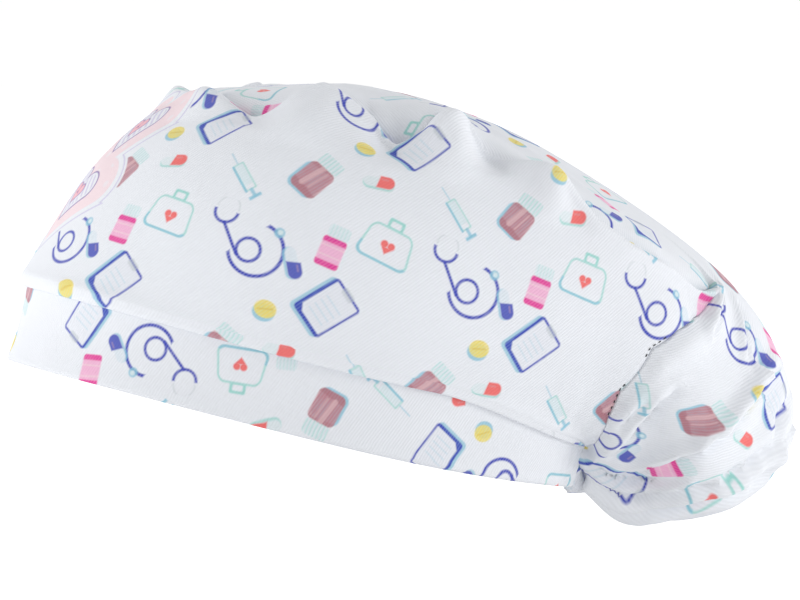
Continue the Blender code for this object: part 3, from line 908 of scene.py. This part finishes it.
# Motifs of one repeat: middle in millimetres, turn in degrees, and the colours of a capsule
motifs = (
    (drawTube, (14, 17), 8),
    (drawBoard, (44, 12), -28),
    (drawBottle, (21, 46), -16),
    (drawBag, (50, 38), 4),
    (drawJar, (36.5, 29), 7),
    (drawSyringe, (2, 36), -32),
    (drawTablet, (28.5, 2.5), 12),
    (drawCapsule, (38, 55), 20, "coral", "mint"),
    (drawCapsule, (29, 19), -52, "royal", "paleBlue"),
)
# Twill: direction of its ribs, pitch in millimetres, how far yarns push them aside, how ribs and
# blotches change the tone, how ribs and brush strokes wear the ink, and the ribs' relief
twill = {
    "slant": (0.906, -0.423),
    "pitch": 0.92,
    "wobble": 0.14,
    "ribTone": 0.020,
    "blotchTone": 0.05,
    "leastTone": 0.955,
    "ribWash": -0.08,
    "leastWash": 0.72,
    "brushWash": 0.35,
    "noiseScales": {"yarn": 1.6, "blotch": 0.045, "brush": 0.35},
    "bumpStrength": 0.35,
    "bumpHeight": 0.00012,
}


def clothMaterial(name, printed):
    material = bpy.data.materials.new(name)
    pen = Sketch(material)
    place = pen.node("ShaderNodeUVMap", uv_map="clothMap").outputs[0]
    at = pen.vector("MULTIPLY", place, (1000, 1000, 1000))
    x, y = pen.parts(at)
    scales = twill["noiseScales"]
    yarn, blotch = pen.noise(at, scales["yarn"], 1.0), pen.noise(at, scales["blotch"], 3.0)
    slant = pen.math("MULTIPLY_ADD", x, twill["slant"][0], pen.math("MULTIPLY", y, twill["slant"][1]))
    wobble = pen.math("MULTIPLY_ADD", yarn, twill["wobble"], slant)
    rib = pen.math("SINE", pen.math("MULTIPLY", wobble, math.tau / twill["pitch"]))
    tone = pen.math("MULTIPLY_ADD", blotch, twill["blotchTone"], twill["leastTone"])
    tone = pen.math("MULTIPLY_ADD", rib, twill["ribTone"], tone)
    colour = (*printColours["cloth"], 1)
    if printed:
        brush = pen.noise(at, scales["brush"])
        wash = pen.math("MULTIPLY_ADD", brush, twill["brushWash"], twill["leastWash"])
        pen.wash = pen.math("MULTIPLY_ADD", rib, twill["ribWash"], wash)
        for draw, centre, turn, *names in motifs:
            colour = pen.inked(colour, draw(pen, pen.local(at, centre, turn), *names))
        colour = pen.inked(colour, drawFrontHearts(pen, at))
    height = pen.math("MULTIPLY_ADD", yarn, 0.5, rib)
    bump = {"Strength": twill["bumpStrength"], "Distance": twill["bumpHeight"], "Height": height}
    pen.surface({
        "Base Color": pen.mix(1.0, colour, tone, "MULTIPLY"),
        "Normal": pen.node("ShaderNodeBump", bump).outputs[0],
        "Roughness": 0.88,
        "Specular IOR Level": 0.25,
        "Sheen Weight": 0.12,
        "Sheen Roughness": 0.5,
    })
    return material


outsideCloth = clothMaterial("printed_twill", True)
insideCloth = clothMaterial("twill_back", False)
print("cloth ready")


def turnedEdge(upwards, turn):
    # how far a folded edge rounds off
    edge = np.clip(1 - upwards / turn, 0, 1)
    return turn * 0.5 * (1 - np.sqrt(np.maximum(1 - edge**2, 0)))


def finishStrip(name, outside, inside, low, high):
    # a panel whose grid has no gaps, with its print upright from one of its columns to another
    used, middle = allUsed(outside), len(outside) // 2
    piece, kept = gridMesh(name, outside, inside, used)
    finishPanel(piece, kept, flatPattern(outside, used, False, False, (middle, low), (middle, high)))


def allUsed(points):
    return np.ones((points.shape[0] - 1, points.shape[1] - 1), bool)


# Front and side panel: steps and columns of its grid, gap beside the back seam in degrees, the
# hem's rows, fold and thicker cloth, the rows of the top's seam allowance with their gaps, and two
# points of the flat grid of which one stands straight above the other on the print
wallPanel = {
    "sideSteps": 460,
    "rows": 56,
    "rising": (1.06, 5.72),
    "seamRows": 11,
    "intoSeam": (5.75, seamColumn),
    "seamGap": 0.02,
    "hemRows": (0.0, 0.012, 0.03),
    "underHem": 0.95,
    "hemTurn": 0.0008,
    "hemExtra": 0.0005,
    "hemDepth": 0.003,
    "allowanceRows": np.array([0.12, 0.4, 1.0]),
    "allowanceGap": 0.0001,
    "innerGap": 0.0006,
    "upright": ((72, 1), (72, 30)),
}


def buildWall():
    end = capForm["bandEnd"] - wallPanel["seamGap"]
    angles = np.linspace(-end, end, wallPanel["sideSteps"] + 1)
    lower = bandTop - capForm["crownOverlap"] / capForm["bandHeight"]
    hem = [lower + row for row in wallPanel["hemRows"]] + [wallPanel["underHem"], bandTop]
    rising = np.linspace(*wallPanel["rising"], wallPanel["rows"])
    intoSeam = np.linspace(*wallPanel["intoSeam"], wallPanel["seamRows"])
    columns = np.concatenate([hem, rising, intoSeam])
    grid = np.meshgrid(angles, columns, indexing="ij")
    points, normal, lift, spots = crownSurface(*grid)
    upwards, sideways = stepAlong(points, 1), stepAlong(points, 0)
    toTop = upwards[:, -1:] - upwards
    toEnd = np.minimum(sideways, sideways[-1:] - sideways)
    groove = seamProfile(toTop, "wallAtTop") + seamProfile(upwards, "wallAtBand")
    groove += seamProfile(toEnd, "wallAtBack") * smooth(1.0, 1.5, grid[1])
    rounding = -turnedEdge(upwards, wallPanel["hemTurn"])
    outside = points + normal * (lift + groove + rounding)[..., None]
    inHem = 1 - smooth(0.0, wallPanel["hemDepth"], upwards)
    thick = clothWall["crownThickness"] + wallPanel["hemExtra"] * inHem
    inside = outside - normal * (thick + 2 * rounding)[..., None]
    # the seam allowance turns in from the top seam
    deep = wallPanel["allowanceRows"] * clothWall["seamAllowance"]
    gap, innerGap = (0, 0, wallPanel["allowanceGap"]), (0, 0, wallPanel["innerGap"])
    folds = [outside[:, -1] - normal[:, -1] * depth - gap for depth in deep]
    layer = (inside - outside)[:, -1] * 0.2 - innerGap
    outside = np.concatenate([outside, np.stack(folds, 1)], 1)
    inside = np.concatenate([inside, np.stack([fold + layer for fold in folds], 1)], 1)
    piece, kept = gridMesh("wall_panel", outside, inside, allUsed(outside))
    laid = placesOn(crownPattern(True, wallPanel["upright"]), *spots)
    pattern = np.concatenate([laid, laid[:, -1:] + deep[:, None] * (0, 1)], 1)
    finishPanel(piece, kept, pattern)


# Top panel: steps and columns of its grid below, at and over the top seam, gap beside the back
# seams in degrees, its first steps past them and where the even steps start and end, and two points
# of the flat grid, one above the other on the print once it is turned
topPanel = {
    "sideSteps": 300,
    "backSteps": 184,
    "besideRows": 96,
    "beside": (bandTop, 5.998),
    "seamRows": 11,
    "fromSeam": (6.002, 6.25),
    "topRows": 38,
    "overTop": (6.29, poleColumn),
    "seamGap": 0.02,
    "nearSeam": np.array([0.12, 0.25, 0.4, 0.6, 0.8]),
    "evenFrom": (1.05, 1.0),
    "upright": ((0, 24), (72, 38)),
    "uprightTurn": 40.0,
}


def buildTop():
    end = capForm["bandEnd"] + topPanel["seamGap"]
    sides = np.linspace(-end, end, topPanel["sideSteps"] + 1)
    otherEnd, nearSeam = 360 - end, topPanel["nearSeam"]
    first, last = end + topPanel["evenFrom"][0], otherEnd - topPanel["evenFrom"][1]
    backs = np.linspace(first, last, topPanel["backSteps"])
    angles = np.concatenate([sides, end + nearSeam, backs, (otherEnd - nearSeam)[::-1]])
    beside = np.linspace(*topPanel["beside"], topPanel["besideRows"])
    fromSeam = np.linspace(*topPanel["fromSeam"], topPanel["seamRows"])
    overTop = np.linspace(*topPanel["overTop"], topPanel["topRows"])
    columns = np.concatenate([beside, fromSeam, overTop])
    grid = np.meshgrid(angles, columns, indexing="ij")
    points, normal, lift, spots = crownSurface(*grid)
    upwards = stepAlong(points, 1)
    line = len(beside)
    pastSeam = np.maximum(upwards - upwards[:, line : line + 1], 0)
    onSide = np.abs(signed(grid[0])) <= end
    groove = np.where(onSide, seamProfile(pastSeam, "panelAtTop"), 0)
    sideways = stepAlong(points[topPanel["sideSteps"] :], 0)
    toEnd = np.full(points.shape[:2], 1.0)
    toEnd[topPanel["sideSteps"] :] = np.minimum(sideways, sideways[-1:] - sideways)
    toEnd[0] = 0
    fading = 1 - smooth(5.5, 6.3, grid[1])
    behind = np.abs(signed(grid[0])) >= end - 0.001
    groove += seamProfile(toEnd, "panelAtBack") * smooth(1.0, 1.5, grid[1]) * fading * behind
    outside = points + normal * (lift + groove)[..., None]
    inside = outside - normal * clothWall["crownThickness"]
    used = np.ones((len(angles), len(columns) - 1), bool)
    used[: topPanel["sideSteps"], :line] = False
    piece, kept = gridMesh("top_panel", outside, inside, used, True, True)
    laid = crownPattern(False, topPanel["upright"], topPanel["uprightTurn"])
    finishPanel(piece, kept, placesOn(laid, *spots))


# Band: grid steps, gap beside the back seam, its lower edge's fold, its waves, and the tucks
# beside its ends with their pitch and reach in degrees
browBand = {
    "steps": 340,
    "rows": 20,
    "seamGap": 0.15,
    "edgeTurn": 0.0011,
    "waveSize": 0.022,
    "waveHeight": 0.0005,
    "tuckHeight": 0.0007,
    "tuckPitch": 3.1,
    "tuckReach": 6,
}


def buildBand():
    end = capForm["bandEnd"] - browBand["seamGap"]
    angles = np.linspace(-end, end, browBand["steps"])
    columns = np.concatenate([[0, 0.02, 0.06], np.linspace(0.12, bandTop, browBand["rows"])])
    grid = np.meshgrid(angles, columns, indexing="ij")
    facing = np.maximum(np.cos(np.radians(grid[0])), 0) ** 2
    curl = capForm["bandFlare"] * facing * (1 - np.clip(grid[1] / capForm["flareShare"], 0, 1)) ** 2
    points = smoothCap(*grid)
    waves = unevenness(points, browBand["waveSize"], browBand["waveHeight"])
    waves = waves * np.sin(np.pi * np.clip(grid[1], 0, 1))
    toEnd = capForm["bandEnd"] - np.abs(grid[0])
    tucks = browBand["tuckHeight"] * np.sin(math.tau * toEnd / browBand["tuckPitch"])
    tucks = tucks * np.exp(-((toEnd / browBand["tuckReach"]) ** 2))
    away = levelNormals(grid[0])
    outside = points + outward(grid[0]) * curl[..., None] + away * (waves + tucks)[..., None]
    upwards = stepAlong(points, 1)
    rounding = turnedEdge(upwards, browBand["edgeTurn"])
    inside = outside - away * (clothWall["bandThickness"] - rounding)[..., None]
    outside = outside - away * rounding[..., None]
    finishStrip("brow_band", outside, inside, len(columns) - 1, 0)


# Casing: grid steps, gap beside the band's end, first and last column, its swell, and the
# heights and pitches of its coarse and fine ribs
napeElastic = {
    "steps": 300,
    "rows": 18,
    "seamGap": 0.10,
    "columns": (0.08, 0.96),
    "swell": 0.0008,
    "ribHeight": 0.0005,
    "ribPitch": 3.3,
    "fineHeight": 0.0002,
    "finePitch": 1.9,
}


def buildCasing():
    start = capForm["bandEnd"] + napeElastic["seamGap"]
    angles = np.linspace(start, 360 - start, napeElastic["steps"])
    columns = np.linspace(*napeElastic["columns"], napeElastic["rows"])
    grid = np.meshgrid(angles, columns, indexing="ij")
    rib = napeElastic["ribHeight"] * unevenWaves(grid[0], napeElastic["ribPitch"], 1.7, 11)
    fine = unevenWaves(grid[0], napeElastic["finePitch"], 2, 5, 3 * grid[1])
    rib += napeElastic["fineHeight"] * fine
    swell = napeElastic["swell"] * (np.sin(np.pi * grid[1] / columns[-1]) - 1)
    away = levelNormals(grid[0])
    outside = smoothCap(*grid) + away * (rib + swell)[..., None]
    inside = outside - away * clothWall["casingThickness"]
    finishStrip("nape_elastic", outside, inside, 0, len(columns) - 1)


# Dark thread that shows in the back seams: first and last grid column of each run of stitches
# and their count, the sizes of a stitch in metres, and its place beside the seam in degrees
stitching = {
    "runs": ((4.22, 3.70, 5), (2.92, 2.25, 6)),
    "length": 0.0012,
    "thickness": 0.00042,
    "besideSeam": 0.25,
    "depthPlace": 0.0005,
    "darkest": (0.012, 0.012, 0.016, 1),
    "palest": (0.075, 0.075, 0.085, 1),
}


def buildStitches():
    stitches = []
    for sign in (-1, 1):
        for first, last, count in stitching["runs"]:
            columns = np.linspace(first, last, count)
            angles = np.full(count, sign * (capForm["bandEnd"] - stitching["besideSeam"]))
            points, normal, lift, spots = crownSurface(angles, columns)
            depth = seamProfile(stitching["depthPlace"], "wallAtBack")
            places = points + normal * (lift + depth + stitching["thickness"] / 3)[..., None]
            runs = np.gradient(places, axis=0)
            for place, run in zip(places, runs):
                bpy.ops.mesh.primitive_uv_sphere_add(
                    segments=10,
                    ring_count=7,
                    radius=stitching["thickness"] / 2,
                    location=place,
                    rotation=Vector(run).to_track_quat("Z", "Y").to_euler(),
                )
                stitch = bpy.context.active_object
                stitch.scale.z = stitching["length"] / stitching["thickness"]
                stitches.append(stitch)
    bpy.ops.object.select_all(action="DESELECT")
    for stitch in stitches:
        stitch.select_set(True)
    bpy.context.view_layer.objects.active = stitches[0]
    bpy.ops.object.join()
    bpy.ops.object.transform_apply(location=True, rotation=True, scale=True)
    piece = bpy.context.active_object
    piece.name = "seam_stitches"
    piece.data.shade_smooth()
    thread = bpy.data.materials.new("dark_thread")
    pen = Sketch(thread)
    lint = pen.noise(pen.node("ShaderNodeTexCoord").outputs["Object"], 2500)
    colour = pen.mix(lint, stitching["darkest"], stitching["palest"])
    pen.surface({"Base Color": colour, "Roughness": 0.7})
    piece.data.materials.append(thread)
    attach(piece, "root")
    print("seam_stitches", len(stitches))


buildBand()
buildWall()
buildTop()
buildCasing()
buildStitches()

# Studio: a pale floor and a white tent, darker ahead of the cap's near side and above it
studio = {
    "floorDrop": 0.08,
    "floorSize": 60.0,
    "floorGlow": 0.62,
    "floorTone": 0.9,
    # painted shadow below the cap: the floor's tone there, and the reach over which it and the glow fade
    "paintedShadowTone": 0.82,
    "shadeReach": (0.10, 0.45),
    "tentLight": 1.01,
    "darkSide": 58.0,
    "darkerAhead": 0.62,
    "darkerAbove": 0.32,
    "lampSize": 0.6,
    "lampsAim": (0, 0.03, 0.04),
    "lamps": {
        "front_lamp": ((0.0, -1.40, 0.50), 6.7),
        "back_lamp": ((0.75, 1.30, 0.55), 5.2),
    },
}
# View of the photo: angles, scale, and where the cap's origin lies in its frame
view = {
    "azimuth": 75.0,
    "elevation": 5.0,
    "distance": 1.40,
    "mmPerPixel": 0.335,
    "originPixel": (303.0, 421.8),
    "framePixels": (800, 600),
    "sensorWidth": 36,
}


def buildStudio():
    below = cadBox[0][2] - studio["floorDrop"]
    bpy.ops.mesh.primitive_plane_add(size=studio["floorSize"], location=(0, 0, below))
    floor = bpy.context.active_object
    floor.name = "studio_floor"
    paper = bpy.data.materials.new("pale_floor")
    pen = Sketch(paper)
    place = pen.node("ShaderNodeTexCoord").outputs["Object"]
    reach = pen.vector("LENGTH", pen.vector("MULTIPLY", place, (1, 1, 0)))
    # painted shadow: below the cap the paper is greyer and its glow fades out
    values = [reach, *studio["shadeReach"]]
    fading = pen.node("ShaderNodeMapRange", values, interpolation_type="SMOOTHSTEP").outputs[0]
    shade = studio["paintedShadowTone"]
    pen.surface({
        "Base Color": pen.math("MULTIPLY_ADD", fading, studio["floorTone"] - shade, shade),
        "Roughness": 1.0,
        "Specular IOR Level": 0.0,
        "Emission Color": (1, 1, 1, 1),
        "Emission Strength": pen.math("MULTIPLY", fading, studio["floorGlow"]),
    })
    floor.data.materials.append(paper)
    world = bpy.data.worlds.new("studio_sky")
    bpy.context.scene.world = world
    pen = Sketch(world)
    towards = pen.node("ShaderNodeTexCoord").outputs["Generated"]
    ahead = math.radians(studio["darkSide"])
    strength = studio["tentLight"]
    for direction, darker in (
        ((math.sin(ahead), -math.cos(ahead), 0), studio["darkerAhead"]),
        ((0, 0, 1), studio["darkerAbove"]),
    ):
        share = pen.math("MAXIMUM", pen.vector("DOT_PRODUCT", towards, direction), 0.0)
        strength = pen.math("MULTIPLY_ADD", share, -darker, strength)
    sky = {"Color": (1, 1, 1, 1), "Strength": strength}
    pen.fill(pen.tree.nodes["Background"].inputs, sky)
    for name, (place, power) in studio["lamps"].items():
        bpy.ops.object.light_add(type="AREA", location=place)
        lamp = bpy.context.active_object
        lamp.name = name
        lamp.data.energy = power
        lamp.data.size = studio["lampSize"]
        aim = Vector(studio["lampsAim"]) - Vector(place)
        lamp.rotation_euler = aim.to_track_quat("-Z", "Y").to_euler()


def buildCamera():
    a, e = math.radians(view["azimuth"]), math.radians(view["elevation"])
    back = Vector((math.sin(a) * math.cos(e), -math.cos(a) * math.cos(e), math.sin(e)))
    right = Vector((math.cos(a), math.sin(a), 0))
    up = back.cross(right)
    scale = view["mmPerPixel"] / 1000
    (wide, high), (originAcross, originDown) = view["framePixels"], view["originPixel"]
    across, upwards = wide / 2 - originAcross, originDown - high / 2
    target = right * across * scale + up * upwards * scale
    place = back * view["distance"]
    camera = bpy.data.objects.new("camera", bpy.data.cameras.new("camera"))
    bpy.context.scene.collection.objects.link(camera)
    camera.location = place
    camera.rotation_euler = (target - place).to_track_quat("-Z", "Y").to_euler()
    camera.data.sensor_width = view["sensorWidth"]
    camera.data.lens = view["sensorWidth"] * (target - place).length / (wide * scale)
    bpy.context.scene.camera = camera


buildStudio()
buildCamera()
print("studio ready")
